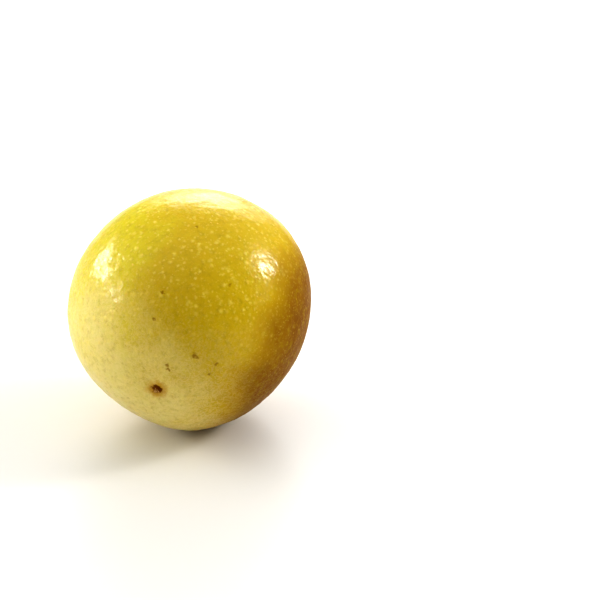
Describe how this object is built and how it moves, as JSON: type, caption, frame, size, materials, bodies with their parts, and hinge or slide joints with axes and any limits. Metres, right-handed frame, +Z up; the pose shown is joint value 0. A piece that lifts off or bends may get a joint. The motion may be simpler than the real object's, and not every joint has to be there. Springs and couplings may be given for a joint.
{
  "type": "passion fruit",
  "caption": "Whole yellow passion fruit lying on its side: a nearly round berry with soft ridges, a blossom scar in a shallow dimple and a dry round stem scar, resting on a small flat spot.",
  "frame": {"origin": "middle of the small flat spot that the fruit rests on", "axes": "+Z up, -Y towards the side that the blossom end faces (the blossom end dips about 17 degrees below the horizontal), +Y towards the stem end, +X across the fruit"},
  "size_m": [0.0707, 0.0705, 0.069],
  "materials": {
    "rind": "satin waxy fruit rind: golden yellow above, olive yellow at the sides, pale straw round the blossom end, with pale specks and fine pores"
  },
  "bodies": {
    "root": {"passion_fruit": "rind"}
  },
  "joints": []
}
